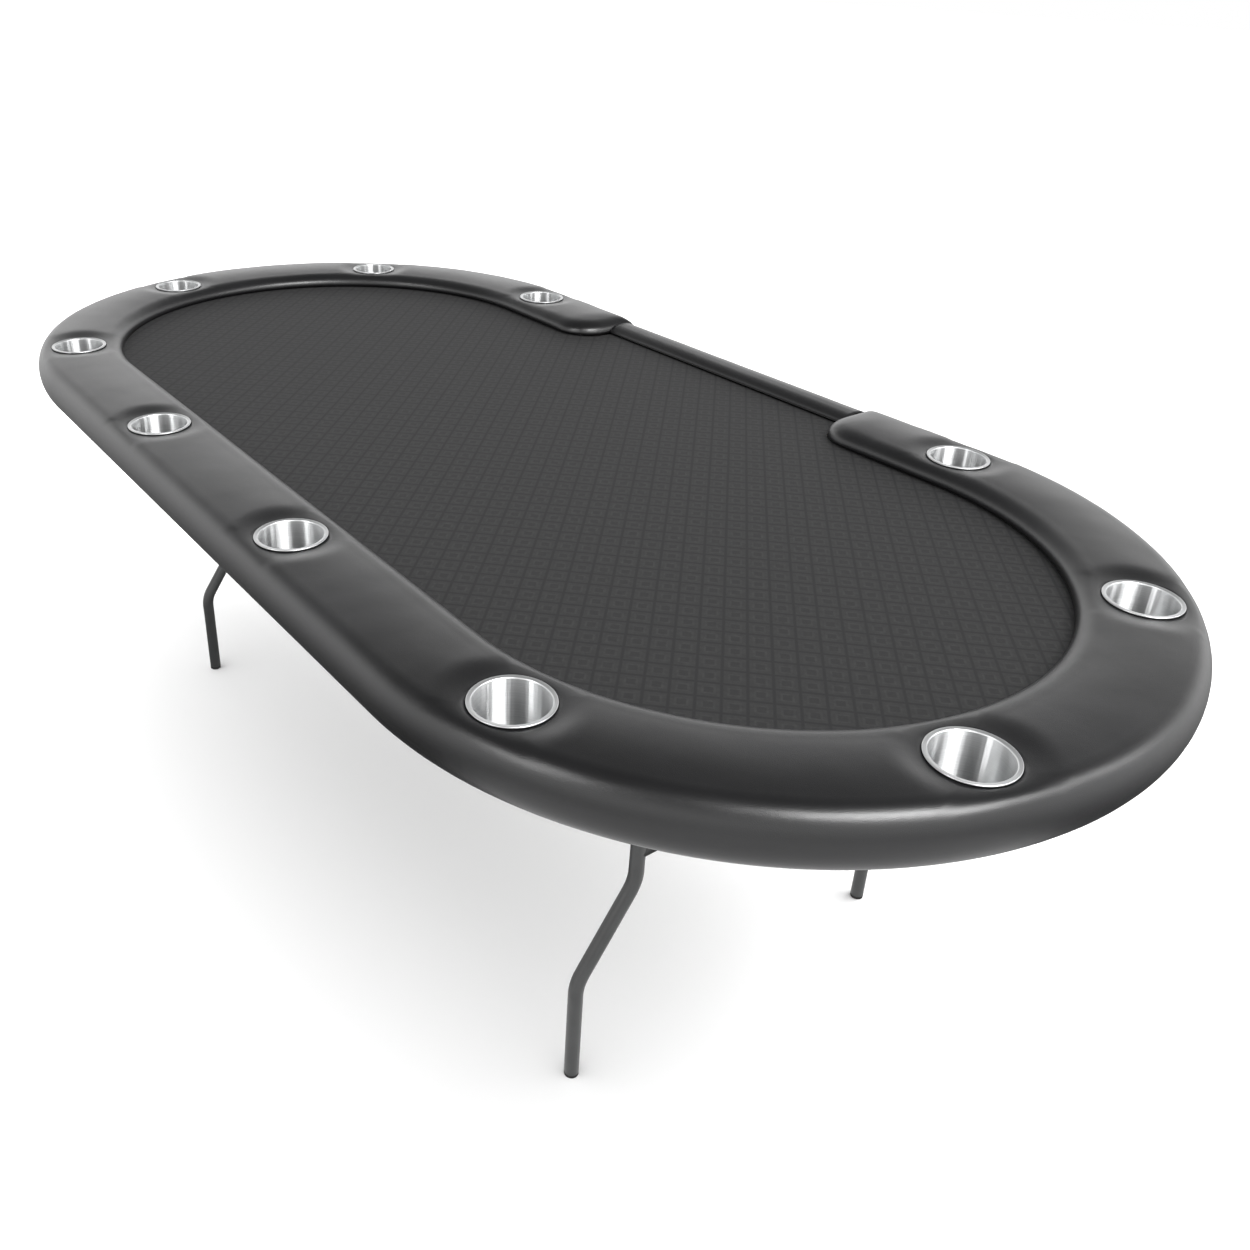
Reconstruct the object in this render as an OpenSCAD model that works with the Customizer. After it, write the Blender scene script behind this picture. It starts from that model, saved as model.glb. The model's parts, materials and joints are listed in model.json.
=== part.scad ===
// Oval poker table with a padded rail, ten drop-in cup holders and folding legs.
// Millimetres. The origin is on the floor under the middle of the table.
// +X runs along the table, +Y towards the dealer's side, +Z up.

/* [Table] */
// Overall length over the padded rail
table_l = 2330; // [2000:10:2800]
// Overall width over the padded rail
table_w = 1160; // [960:10:1400]
// Height of the rail's crown above the floor
table_h = 762; // [630:1:915]

/* [Padded rail] */
// Width of the rail, from its outer side to its inner side
rail_w = 155; // [130:1:186]
// Height of the rail's padded side
rail_h = 82; // [72:1:98]
// How far the rail's middle stands above its shoulders
rail_crown = 3; // [1:0.5:6]
// How far the rounded outer side bulges past the wood
side_round = 26; // [20:1:31]
// Radius of the rail's inner shoulder
inner_round = 14; // [8:1:17]
// How far the padded inner lip reaches over the cloth, past the rail's wood
lip_w = 24; // [15:1:29]
// Thickness of the vinyl cover
vinyl_t = 1.5; // [0.8:0.1:2]
// Width of the vinyl's hem, stapled under the table's edge
hem_w = 22; // [12:1:28]
// Foam over the wood at the ends of the rail
end_foam = 12; // [6:1:20]

/* [Dealer's place] */
// Length of the gap in the wide rail
dealer_gap = 650; // [520:10:780]
// Radius of the wide rail's inner corners at the gap
dealer_corner_r = 70; // [40:1:84]
// Width of the narrow roll in front of the dealer
dealer_w = 70; // [58:1:84]
// How far the dealer's roll lies below the rail's crown
dealer_drop = 13; // [6:1:16]
// Width of the wood under the dealer's roll
dealer_base_w = 24; // [16:1:28]
// Gap between the dealer's roll and the wide rail's ends
dealer_clearance = 0.5; // [0.3:0.1:2]

/* [Playing surface] */
// How far the cloth lies below the rail's crown
cloth_drop = 31; // [26:1:34]
// Thickness of the cloth
cloth_t = 1; // [0.5:0.1:1.5]
// Thickness of the foam pad under the cloth
pad_t = 6; // [3:0.5:7]
// Thickness of the plywood deck
deck_t = 18; // [15:1:21]
// Thickness of the wood that the rail's padding is fixed to
base_t = 12; // [9:1:14]
// Gap between the cloth's edge and the rail's wood, and under the lip
cloth_clearance = 1; // [0.5:0.1:2]
// Thickness of the bent strips round the deck's underside
fascia_t = 6; // [3:0.5:7]

/* [Cup holders] */
// Cup holders on each half of the table
cups_per_half = 5; // [3:1:5]
// Distance along the rail from its end to the nearest cup
cup_end_inset = 240; // [150:5:290]
// Diameter of the cup's rolled flange
cup_flange_d = 98; // [82:1:112]
// Outer diameter of the cup's body
cup_body_d = 88; // [73:1:98]
// Depth of the cup below its flange
cup_depth = 69; // [50:1:72]
// Thickness of the sheet that the cup is drawn from
cup_t = 1; // [0.6:0.1:1.5]
// Thickness of the flange's rolled edge
cup_bead_t = 2.4; // [1.6:0.1:3]
// How far the flange's seat lies below the rail's crown
cup_seat_drop = 6; // [4:0.5:9]
// Gap round the cup's body and flange
cup_clearance = 1.5; // [0.8:0.1:2.5]

/* [Leg frames] */
// Outer diameter of the leg tubes
tube_d = 22; // [19:0.5:26]
// Wall of the tubes
tube_wall = 1.5; // [1:0.1:2.5]
// Distance of each foot from the table's long side
foot_inset = 263; // [220:1:310]
// How far each leg bends outwards on its way down
leg_splay = 97; // [80:1:116]
// Height of the middle of the lower bend
low_bend_z = 180; // [150:1:210]
// Height of the middle of the upper bend
high_bend_z = 320; // [290:1:345]
// Radius of the bends along the tube's centre line
bend_r = 60; // [45:1:72]
// Height of the crossbar above the floor
crossbar_z = 372; // [365:1:440]
// Distance of the pivot below the deck
pivot_drop = 56; // [50:1:66]
// Gap between the feet of the two frames once they are folded
folded_gap = 20; // [10:1:30]
// Rubber sole under the end of each leg tube
foot_sole = 6; // [4:0.5:10]
// How far the foot's plug reaches up inside the tube
foot_plug = 24; // [15:1:34]
// Radial play of every pivot on a tube
pivot_play = 0.08; // [0.03:0.01:0.1]

/* [Pivot brackets and stays] */
// Thickness of the bracket plates
plate_t = 3; // [2:0.5:4]
// Distance of the bracket's middle outside the leg tube
bracket_offset = 42; // [36:1:50]
// Width of the bracket between its outer faces
bracket_w = 30; // [24:1:34]
// Length of the bracket's base plate
bracket_l = 76; // [70:1:90]
// Distance of the stay's upper pivot from the leg's pivot, towards the middle
stay_reach = 340; // [300:5:400]
// Depth of the stay's upper pivot below the deck
stay_drop = 35; // [33:1:37]
// Width of the stay's bars
stay_w = 18; // [15:1:20]
// Thickness of the upper bar
stay_bar_t = 5; // [4:0.5:6]
// Thickness of each lower bar
stay_cheek_t = 3; // [2:0.5:4]
// Gap between the upper bar and each lower bar
stay_gap = 0.7; // [0.5:0.1:1]
// Radius of the stay's upper pin
stay_pin_r = 4; // [3:0.5:5]

/* [Underframe and fasteners] */
// Thickness of the boards under the deck
board_t = 20; // [18:1:22]
// Width of the boards
board_w = 90; // [84:1:110]
// Shank radius of the wood screws
screw_r = 2; // [1.5:0.1:2.5]
// Shank radius of the bolts that hold the rail
bolt_r = 3; // [2.5:0.5:3.5]

/* [Hidden] */
big = 4000;
cut = 1;
rail_bot = table_h - rail_h;
shoulder_z = table_h - rail_crown;
dealer_top = table_h - dealer_drop;
cloth_top = table_h - cloth_drop;
pad_top = cloth_top - cloth_t;
deck_top = pad_top - pad_t;
deck_bot = deck_top - deck_t;
lip_z = cloth_top + cloth_clearance / 2;
dealer_round_w = dealer_w * 0.36;
dealer_round_h = dealer_top - lip_z - 2;
base_in = rail_w - lip_w;
end_r = table_w / 2;
straight = (table_l - table_w) / 2;
cup_inset = rail_w / 2;
cup_seat_z = table_h - cup_seat_drop;
cup_path_r = end_r - cup_inset;
cup_path = 2 * straight + PI * cup_path_r;
cup_pitch = (cup_path - dealer_gap / 2 - cup_end_inset) / (cups_per_half - 0.5);
cup_hole_r = cup_body_d / 2 + cup_clearance;
cup_pocket_r = cup_flange_d / 2 + cup_clearance;
foam_cut_x = round(pitch_x(1));
foam_cut_y = round((end_pos(2.5)[1] + end_pos(3.5)[1]) / 2);
tube_r = tube_d / 2;
pivot_z = deck_bot - pivot_drop;
pivot_x = pivot_z + folded_gap / 2;
foot_y = table_w / 2 - foot_inset;
leg_y = foot_y - leg_splay;
bracket_y = leg_y + bracket_offset;
leg_lean = atan2(leg_splay, high_bend_z - low_bend_z);
leg_slant = norm([leg_splay, high_bend_z - low_bend_z]);
bend_tangent = bend_r * tan(leg_lean / 2);
// The bends are a hair thicker than the straight tubes, which end inside them.
bend_swell = 0.05;
bend_lap = 1.5;
board_bot = deck_bot - board_t;
long_board_y = bracket_y + bracket_w / 2 + board_w / 2 + 50;
stay_x = pivot_x - stay_reach;
stay_z = deck_bot - stay_drop;
// The lower bars lie flat at the pivot's height once the frame is folded.
folded_bar_x = pivot_x - (pivot_z - crossbar_z);
stay_len = norm([pivot_x - stay_x, crossbar_z - stay_z]);
fold_e = folded_bar_x - stay_x;
fold_h = stay_z - pivot_z;
lower_len = (pow(stay_len, 2) - pow(fold_e, 2) - pow(fold_h, 2)) / (2 * (stay_len - fold_e));
stay_dir = [stay_x - pivot_x, stay_z - crossbar_z] / stay_len;
stay_mid = [pivot_x, crossbar_z] + lower_len * stay_dir;
cheek_in = stay_bar_t / 2 + stay_gap;
cheek_out = cheek_in + stay_cheek_t;
eye_r = tube_r + 7;
stay_end_r = stay_w / 2 + 0.6;
long_screws = [-800, -400, 0, 400, 800];
round_fn = 180;

// A place on the cup line, t millimetres from the middle of the front side, at inset u.
function end_angle(t) = (t - straight) / cup_path_r * 180 / PI;
function line_pos(t, u) =
    t < straight ? [t, u - end_r] :
    end_angle(t) < 180 ? [straight + (end_r - u) * sin(end_angle(t)),
        -(end_r - u) * cos(end_angle(t))] :
    [2 * straight + PI * cup_path_r - t, end_r - u];
function end_pos(k) = line_pos(k * cup_pitch, cup_inset);
function pitch_x(k) = end_pos(k)[0];
function cup_pos(n) = n <= cups_per_half ? end_pos(n - 0.5)
    : [-end_pos(2 * cups_per_half - n + 0.5)[0], end_pos(2 * cups_per_half - n + 0.5)[1]];
// The rail's bolts stand midway between the cups, and near the rail's two ends.
bolt_places = concat([[line_pos(0, rail_w * 0.6)]],
    [for (k = [1:cups_per_half - 1]) [for (s = [-1, 1])
        let (p = line_pos(k * cup_pitch, rail_w * 0.6)) [s * p[0], p[1]]]],
    [[for (s = [-1, 1]) [s * (dealer_gap / 2 + 90), end_r - rail_w * 0.6]]]);
bolts = [for (group = bolt_places) each group];
// The dealer's strip of wood is screwed on from below, with its heads sunk in the deck.
strip_screws = [for (x = [-1, 0, 1]) [x * dealer_gap / 3, end_r - side_round - dealer_base_w / 2]];
board_screws = concat(
    [for (x = long_screws, s = [-1, 1]) [x * straight / 900, s * long_board_y]],
    [for (x = [pivot_x, stay_x], i = [-1, 1], j = [-1, 1])
        [i * x, j * leg_y * 0.6]]);
plate_screws = concat(
    [for (i = [-1, 1], j = [-1, 1], k = [-1, 1])
        [i * pivot_x + k * (bracket_l / 2 - 8), j * bracket_y]],
    [for (i = [-1, 1], j = [-1, 1], k = [-1, 1])
        [i * stay_x + k * 20, j * 10]]);

// Plan outline of the table, inset by u from the rail's outer side.
module oval(u) {
    square([2 * straight, 2 * (end_r - u)], center = true);
    for (s = [-1, 1]) translate([s * straight, 0]) circle(r = end_r - u, $fn = round_fn);
}

// A flat oval plate between two heights.
module oval_plate(u, z0, z1) {
    translate([0, 0, z0]) linear_extrude(z1 - z0) oval(u);
}

module oval_ring(u0, u1, z0, z1) {
    translate([0, 0, z0]) linear_extrude(z1 - z0) difference() {
        oval(u0);
        oval(u1);
    }
}

// Carries a section, drawn as [radius, height], once round the table.
module around_oval() {
    for (turn = [0, 180]) rotate([0, 0, turn]) {
        translate([straight, 0, 0]) rotate([0, 0, -90])
            rotate_extrude(angle = 180, $fn = round_fn) children();
        translate([-straight, 0, 0]) rotate([90, 0, 90])
            linear_extrude(2 * straight) children();
    }
}

// Padded edge from the bottom of the outer side, over the top, to the inner side,
// as [inset, height], taken in by t. The inner shoulder is round_w wide and round_h high.
function padded_edge(t, top_z, crown, width, round_w, round_h) =
    let (half = (top_z - rail_bot) / 2, mid = (top_z + rail_bot) / 2,
        flat_w = width - round_w - side_round)
    concat(
        [for (a = [-90:15:90])
            [side_round - (side_round - t) * cos(a), mid + (half - t) * sin(a)]],
        [for (i = [1:7]) let (k = i / 8)
            [side_round + k * flat_w, top_z - t + 4 * crown * k * (1 - k)]],
        [for (a = [90:-15:0])
            [width - round_w + (round_w - t) * cos(a), top_z - round_h + (round_h - t) * sin(a)]],
        [[width - t, lip_z + t]]);

// Section of a padded roll with its wood, taken in by t. A cover has its hem as well.
function roll_section(t, top_z, crown, width, wood_in, round_w, round_h) = concat(
    t > 0 ? [] : [[side_round + hem_w, rail_bot]],
    padded_edge(t, top_z, crown, width, round_w, round_h),
    [[wood_in, lip_z + t], [wood_in, deck_top], [side_round, deck_top]],
    [[side_round, rail_bot + vinyl_t]],
    t > 0 ? [] : [[side_round + hem_w, rail_bot + vinyl_t]]);

module roll_profile(points) {
    polygon([for (p = points) [end_r - p[0], p[1]]]);
}

// The dealer's gap, grown by g on every side that the rail's end has.
module gap_cutter(g) {
    half = dealer_gap / 2 + g;
    centre = [dealer_gap / 2 + dealer_corner_r, end_r - rail_w + dealer_corner_r];
    corner = dealer_corner_r - g;
    translate([0, 0, rail_bot - cut]) linear_extrude(rail_h + 2 * cut) {
        translate([-half, 0]) square([2 * half, table_w]);
        for (s = [0, 1]) mirror([s, 0]) difference() {
            translate([centre[0] - corner - cut, 0]) square([corner + cut, centre[1]]);
            translate(centre) circle(r = corner, $fn = round_fn);
        }
    }
}

// Clearance for the cups' bodies, from the fascia up.
module cup_holes(r) {
    for (n = [1:2 * cups_per_half]) translate([cup_pos(n)[0], cup_pos(n)[1], rail_bot + vinyl_t + 2])
        cylinder(r = r, h = rail_h, $fn = 64);
}

module cup_pockets(r, z) {
    for (n = [1:2 * cups_per_half]) translate([cup_pos(n)[0], cup_pos(n)[1], z])
        cylinder(r = r, h = rail_h, $fn = 64);
}

// The wide rail's full body, taken in by t.
module wide_roll(t) {
    difference() {
        around_oval() roll_profile(
            roll_section(t, shoulder_z, rail_crown, rail_w, base_in, inner_round, inner_round));
        gap_cutter(t);
        cup_holes(cup_hole_r);
        cup_pockets(cup_pocket_r + t, cup_seat_z - t);
    }
}

// Plan outline of the wood under the wide rail, with its end taken in by g.
module base_outline(g) {
    difference() {
        oval_ring(side_round, base_in, deck_top, deck_top + base_t);
        gap_cutter(g);
    }
}

module deck() {
    color([0.17, 0.16, 0.15]) difference() {
        oval_plate(side_round, deck_bot, deck_top);
        cup_holes(cup_hole_r);
        for (p = bolts) translate([p[0], p[1], deck_bot - cut])
            cylinder(r = bolt_r + 0.3, h = deck_t + 2 * cut, $fn = 24);
        for (p = board_screws) translate([p[0], p[1], deck_bot - cut])
            cylinder(r = screw_r + 0.05, h = 13.5 + cut, $fn = 24);
        for (p = strip_screws) translate([p[0], p[1], deck_bot - cut]) {
            cylinder(r = screw_r + 0.05, h = deck_t + 2 * cut, $fn = 24);
            cylinder(r = 2 * screw_r + 0.1, h = 3 + cut, $fn = 24);
        }
    }
}

// The cloth and its pad run under the padded lips, up to the rail's wood.
module cloth_outline(z0, z1) {
    translate([0, 0, z0]) linear_extrude(z1 - z0)
        oval(side_round + dealer_base_w + cloth_clearance);
}

module cloth_shape(z0, z1) {
    difference() {
        cloth_outline(z0, z1);
        difference() {
            oval_ring(0, base_in + cloth_clearance, z0 - cut, z1 + cut);
            gap_cutter(-cloth_clearance);
        }
    }
}

module cloth_pad() { color("dimgray") cloth_shape(deck_top, pad_top); }

module speed_cloth() { color([0.16, 0.16, 0.17]) cloth_shape(pad_top, cloth_top); }

module rail_base() {
    color([0.2, 0.19, 0.18]) difference() {
        base_outline(vinyl_t + end_foam);
        cup_holes(cup_hole_r);
        bolt_seats();
    }
}

module bolt_seats() {
    for (p = bolts) translate([p[0], p[1], 0]) {
        translate([0, 0, deck_top - cut]) cylinder(r = bolt_r + 1.3, h = base_t + 2 * cut, $fn = 24);
        translate([0, 0, deck_top + base_t - 1.6]) cylinder(r = 9.2, h = 1.6 + cut, $fn = 32);
    }
}

// One of the five sections that the rail's foam is cut in.
module foam_section(x0, x1, y0, y1) {
    color("khaki") difference() {
        intersection() {
            wide_roll(vinyl_t);
            translate([x0, y0, 0]) cube([x1 - x0, y1 - y0, big]);
        }
        difference() {
            oval_ring(side_round, base_in + cut, deck_top - cut, deck_top + base_t);
            gap_cutter(vinyl_t + end_foam);
        }
    }
}

module foam_front() { foam_section(-foam_cut_x, foam_cut_x, -big, 0); }
module foam_right_front() { foam_section(foam_cut_x, big, -big, foam_cut_y); }
module foam_right_rear() { foam_section(dealer_gap / 2, big, foam_cut_y, big); }
module foam_left_front() { mirror([1, 0, 0]) foam_right_front(); }
module foam_left_rear() { mirror([1, 0, 0]) foam_right_rear(); }

module rail_cover() {
    color([0.12, 0.12, 0.13]) difference() {
        wide_roll(0);
        wide_roll(vinyl_t);
    }
}

// The narrow roll in front of the dealer is straight.
module dealer_roll(t) {
    half = dealer_gap / 2 - dealer_clearance - t;
    wood_in = side_round + dealer_base_w;
    translate([-half, 0, 0]) rotate([90, 0, 90]) linear_extrude(2 * half) roll_profile(
        roll_section(t, dealer_top, 0, dealer_w, wood_in, dealer_round_w, dealer_round_h));
}

module dealer_base() {
    half = dealer_gap / 2 - dealer_clearance - vinyl_t - end_foam;
    color([0.2, 0.19, 0.18]) difference() {
        translate([-half, end_r - side_round - dealer_base_w, deck_top])
            cube([2 * half, dealer_base_w, base_t]);
        for (p = strip_screws) translate([p[0], p[1], deck_top - cut])
            cylinder(r = screw_r + 0.05, h = base_t - 2 + cut, $fn = 24);
    }
}

module dealer_foam() {
    half = dealer_gap / 2 - dealer_clearance - vinyl_t - end_foam;
    color("khaki") difference() {
        dealer_roll(vinyl_t);
        translate([-half, end_r - side_round - dealer_base_w - cut, deck_top - cut])
            cube([2 * half, dealer_base_w + cut, base_t + cut]);
    }
}

module dealer_cover() {
    color([0.12, 0.12, 0.13]) difference() {
        dealer_roll(0);
        dealer_roll(vinyl_t);
    }
}

module fascia() {
    difference() {
        oval_ring(side_round, side_round + fascia_t, rail_bot + vinyl_t, deck_bot);
        cup_holes(cup_hole_r);
    }
}

module fascia_straights() {
    color([0.15, 0.14, 0.13]) intersection() {
        fascia();
        translate([-straight, -big / 2, 0]) cube([2 * straight, big, big]);
    }
}

module fascia_bends() {
    color([0.15, 0.14, 0.13]) difference() {
        fascia();
        translate([-straight, -big / 2, 0]) cube([2 * straight, big, big]);
    }
}

module board(x, y, l, w) {
    translate([x - l / 2, y - w / 2, board_bot]) cube([l, w, board_t]);
}

module screw_holes() {
    for (p = board_screws) translate([p[0], p[1], board_bot]) {
        translate([0, 0, -cut]) cylinder(r = screw_r + 0.05, h = board_t + 2 * cut, $fn = 24);
        translate([0, 0, -cut]) cylinder(r = 2 * screw_r + 0.1, h = 3 + cut, $fn = 24);
    }
    for (p = plate_screws) translate([p[0], p[1], board_bot - cut])
        cylinder(r = screw_r + 0.05, h = 15 + cut, $fn = 24);
}

module long_boards() {
    color([0.2, 0.19, 0.18]) difference() {
        for (s = [-1, 1]) board(0, s * long_board_y, 2 * straight * 0.96, board_w);
        screw_holes();
    }
}

module cross_boards(x) {
    color([0.2, 0.19, 0.18]) difference() {
        for (s = [-1, 1]) board(s * x, 0, board_w, 2 * long_board_y - board_w);
        screw_holes();
    }
}

module leg_boards() { cross_boards(pivot_x - 10); }
module stay_boards() { cross_boards(stay_x); }

module rail_bolts() {
    color("silver") for (p = bolts) translate([p[0], p[1], deck_bot]) {
        translate([0, 0, -1.5]) cylinder(r = 8, h = 1.5, $fn = 32);
        translate([0, 0, -5.5]) cylinder(r = 5.6, h = 4, $fn = 6);
        cylinder(r = bolt_r, h = deck_t + base_t - 2, $fn = 24);
    }
}

module rail_t_nuts() {
    color("gold") for (p = bolts) translate([p[0], p[1], deck_top]) difference() {
        union() {
            translate([0, 0, base_t - 1.5]) cylinder(r = 9, h = 1.5, $fn = 32);
            translate([0, 0, 1]) cylinder(r = bolt_r + 1.2, h = base_t - 1.5, $fn = 24);
        }
        cylinder(r = bolt_r + 0.05, h = base_t + cut, $fn = 24);
    }
}

module frame_screws() {
    color("gold") for (p = board_screws) translate([p[0], p[1], board_bot + 0.2]) {
        cylinder(r = 2 * screw_r, h = 2.5, $fn = 24);
        cylinder(r = screw_r, h = board_t + 12, $fn = 24);
    }
    color("gold") for (p = strip_screws) translate([p[0], p[1], deck_bot + 0.2]) {
        cylinder(r = 2 * screw_r, h = 2.5, $fn = 24);
        cylinder(r = screw_r, h = deck_t + base_t - 3, $fn = 24);
    }
}

module bracket_screws() {
    color("silver") for (p = plate_screws) translate([p[0], p[1], board_bot - plate_t]) {
        translate([0, 0, -2.4]) cylinder(r = 2 * screw_r, h = 2.4, $fn = 24);
        cylinder(r = screw_r, h = plate_t + 14, $fn = 24);
    }
}

// A drawn cup with a rolled flange and a rounded bottom edge.
module cup_holder(n) {
    body_r = cup_body_d / 2;
    flange_r = cup_flange_d / 2;
    bead_r = cup_bead_t / 2;
    bottom_r = 6;
    color("silver") translate([cup_pos(n)[0], cup_pos(n)[1], cup_seat_z]) {
        rotate_extrude($fn = 96) difference() {
            union() {
                translate([0, -cup_depth]) square([body_r - bottom_r, cup_t]);
                translate([body_r - bottom_r, bottom_r - cup_depth]) intersection() {
                    circle(r = bottom_r, $fn = 32);
                    translate([0, -bottom_r]) square(bottom_r);
                }
                translate([body_r - cup_t, bottom_r - cup_depth])
                    square([cup_t, cup_depth - bottom_r + cup_t]);
                translate([body_r - cup_t, 0])
                    square([flange_r - bead_r - body_r + cup_t, cup_t]);
                translate([flange_r - bead_r, bead_r]) circle(r = bead_r, $fn = 24);
            }
            translate([body_r - bottom_r, bottom_r - cup_depth])
                circle(r = bottom_r - cup_t, $fn = 32);
        }
    }
}

// A tube along Y at [x, z], from -half to half.
module tube_y(x, z, half, r0, r1) {
    translate([x, half, z]) rotate([90, 0, 0]) difference() {
        cylinder(r = r1, h = 2 * half, $fn = 48);
        translate([0, 0, -cut]) cylinder(r = r0, h = 2 * half + 2 * cut, $fn = 48);
    }
}

module rod_y(x, z, y0, y1, r) {
    translate([x, y1, z]) rotate([90, 0, 0]) cylinder(r = r, h = y1 - y0, $fn = 48);
}

module tube_section(swell) {
    difference() {
        circle(r = tube_r + swell, $fn = 48);
        circle(r = tube_r - tube_wall - swell, $fn = 48);
    }
}

// A straight length of the leg between two heights, which runs on into the bends.
module straight_tube(z0, z1) {
    translate([0, 0, z0]) linear_extrude(z1 - z0) tube_section(0);
}

// A bend upwards from [y, z], leaning towards the table's middle for side 1.
module tube_bend(y, z, side) {
    translate([0, y - side * bend_r, z]) rotate([0, 0, 90 * side]) rotate([90 * side, 0, 0])
        rotate_extrude(angle = leg_lean, $fn = 96) translate([bend_r, 0]) tube_section(bend_swell);
}

// One bent leg: down from the pivot's tube, outwards, and down again into the foot.
module bent_leg() {
    translate([0, foot_y, 0]) straight_tube(foot_sole, low_bend_z - bend_tangent + bend_lap);
    tube_bend(foot_y, low_bend_z - bend_tangent, 1);
    translate([0, foot_y, low_bend_z]) rotate([leg_lean, 0, 0])
        straight_tube(bend_tangent - bend_lap, leg_slant - bend_tangent + bend_lap);
    tube_bend(leg_y, high_bend_z + bend_tangent, -1);
    difference() {
        translate([0, leg_y, 0])
            straight_tube(high_bend_z + bend_tangent - bend_lap, pivot_z - tube_r * 0.6);
        rod_y(0, pivot_z, leg_y - 2 * tube_d, leg_y + 2 * tube_d, tube_r);
    }
}

module leg_tubes() {
    color([0.2, 0.2, 0.21]) translate([pivot_x, 0, 0]) for (s = [0, 1]) mirror([0, s, 0])
        bent_leg();
}

module pivot_tube() {
    color([0.2, 0.2, 0.21])
        tube_y(pivot_x, pivot_z, bracket_y + bracket_w / 2 + 8, tube_r - tube_wall, tube_r);
}

module crossbar() {
    color([0.2, 0.2, 0.21]) difference() {
        tube_y(pivot_x, crossbar_z, leg_y, tube_r - tube_wall, tube_r);
        for (s = [-1, 1]) translate([pivot_x, s * leg_y, 0])
            cylinder(r = tube_r, h = pivot_z, $fn = 48);
    }
}

module feet() {
    color([0.1, 0.1, 0.1]) for (s = [-1, 1]) translate([pivot_x, s * foot_y, 0]) {
        cylinder(r1 = tube_r - 1, r2 = tube_r, h = 1, $fn = 48);
        translate([0, 0, 1]) cylinder(r = tube_r, h = foot_sole - 1, $fn = 48);
        cylinder(r = tube_r - tube_wall, h = foot_sole + foot_plug, $fn = 48);
    }
}

module tube_plugs() {
    y = bracket_y + bracket_w / 2 + 8;
    color([0.1, 0.1, 0.1]) for (s = [0, 1]) mirror([0, s, 0]) {
        rod_y(pivot_x, pivot_z, y, y + 3, tube_r);
        rod_y(pivot_x, pivot_z, y - 12, y, tube_r - tube_wall);
    }
}

// A plate that stands in the XZ plane between two values of y.
module upright_plate(y0, y1) {
    translate([0, y1, 0]) rotate([90, 0, 0]) linear_extrude(y1 - y0) children();
}

module ear(x, z, r, top) {
    translate([x, z]) circle(r = r, $fn = 48);
    translate([x - r, z]) square([2 * r, top - z]);
}

module pivot_brackets() {
    color("dimgray") for (s = [0, 1]) mirror([0, s, 0]) difference() {
        union() {
            translate([pivot_x - bracket_l / 2, bracket_y - bracket_w / 2, board_bot - plate_t])
                cube([bracket_l, bracket_w, plate_t]);
            for (y = [bracket_y - bracket_w / 2, bracket_y + bracket_w / 2 - plate_t])
                upright_plate(y, y + plate_t) ear(pivot_x, pivot_z, tube_r + 7, board_bot);
        }
        rod_y(pivot_x, pivot_z, 0, table_w, tube_r + pivot_play);
        bracket_screw_holes();
    }
}

module bracket_screw_holes() {
    for (p = plate_screws) translate([p[0], p[1], board_bot - plate_t - cut])
        cylinder(r = screw_r + 0.1, h = plate_t + 2 * cut, $fn = 24);
}

module stay_collars() {
    color([0.1, 0.1, 0.1]) for (s = [0, 1]) mirror([0, s, 0])
        translate([pivot_x, cheek_out + 5, crossbar_z]) rotate([90, 0, 0]) difference() {
            cylinder(r = tube_r + 4, h = 4.5, $fn = 48);
            translate([0, 0, -cut]) cylinder(r = tube_r, h = 4.5 + 2 * cut, $fn = 48);
        }
}

// A bar between two points of the XZ plane, with round ends that are a little wider than it.
module link(p, q, rp, rq) {
    along = q - p;
    translate(p) circle(r = rp, $fn = 48);
    translate(q) circle(r = rq, $fn = 48);
    translate(p) rotate(atan2(along[1], along[0]))
        translate([0, -stay_w / 2]) square([norm(along), stay_w]);
}

module lower_stay() {
    color("dimgray") for (s = [0, 1]) mirror([0, s, 0]) upright_plate(cheek_in, cheek_out)
        difference() {
            link([pivot_x, crossbar_z], stay_mid, eye_r, stay_end_r);
            translate([pivot_x, crossbar_z]) circle(r = tube_r + pivot_play, $fn = 48);
            translate(stay_mid) circle(r = stay_pin_r, $fn = 32);
        }
}

// The middle pivot is open: each rivet end stops at the inner face of its lower bar.
module stay_rivet() {
    color("silver") for (s = [0, 1]) mirror([0, s, 0]) {
        rod_y(stay_mid[0], stay_mid[1], cheek_in, cheek_out, stay_pin_r);
        rod_y(stay_mid[0], stay_mid[1], cheek_out, cheek_out + 2, stay_pin_r + 2.5);
    }
}

module upper_stay() {
    color("dimgray") upright_plate(-stay_bar_t / 2, stay_bar_t / 2) difference() {
        link([stay_x, stay_z], stay_mid, stay_end_r, stay_end_r);
        translate([stay_x, stay_z]) circle(r = stay_pin_r + 0.06, $fn = 32);
        translate(stay_mid) circle(r = stay_pin_r + 0.3, $fn = 32);
    }
}

module stay_bracket() {
    ear_in = cheek_in + 0.8;
    color("dimgray") difference() {
        union() {
            translate([stay_x - 28, -17, board_bot - plate_t]) cube([56, 34, plate_t]);
            for (s = [0, 1]) mirror([0, s, 0]) upright_plate(ear_in, ear_in + plate_t)
                ear(stay_x, stay_z, stay_pin_r + 6, board_bot);
        }
        rod_y(stay_x, stay_z, -20, 20, stay_pin_r);
        bracket_screw_holes();
    }
}

module stay_pin() {
    ear_out = cheek_in + 0.8 + plate_t;
    color("silver") {
        rod_y(stay_x, stay_z, -ear_out, ear_out, stay_pin_r);
        for (s = [0, 1]) mirror([0, s, 0])
            rod_y(stay_x, stay_z, ear_out, ear_out + 2, stay_pin_r + 2);
    }
}

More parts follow.
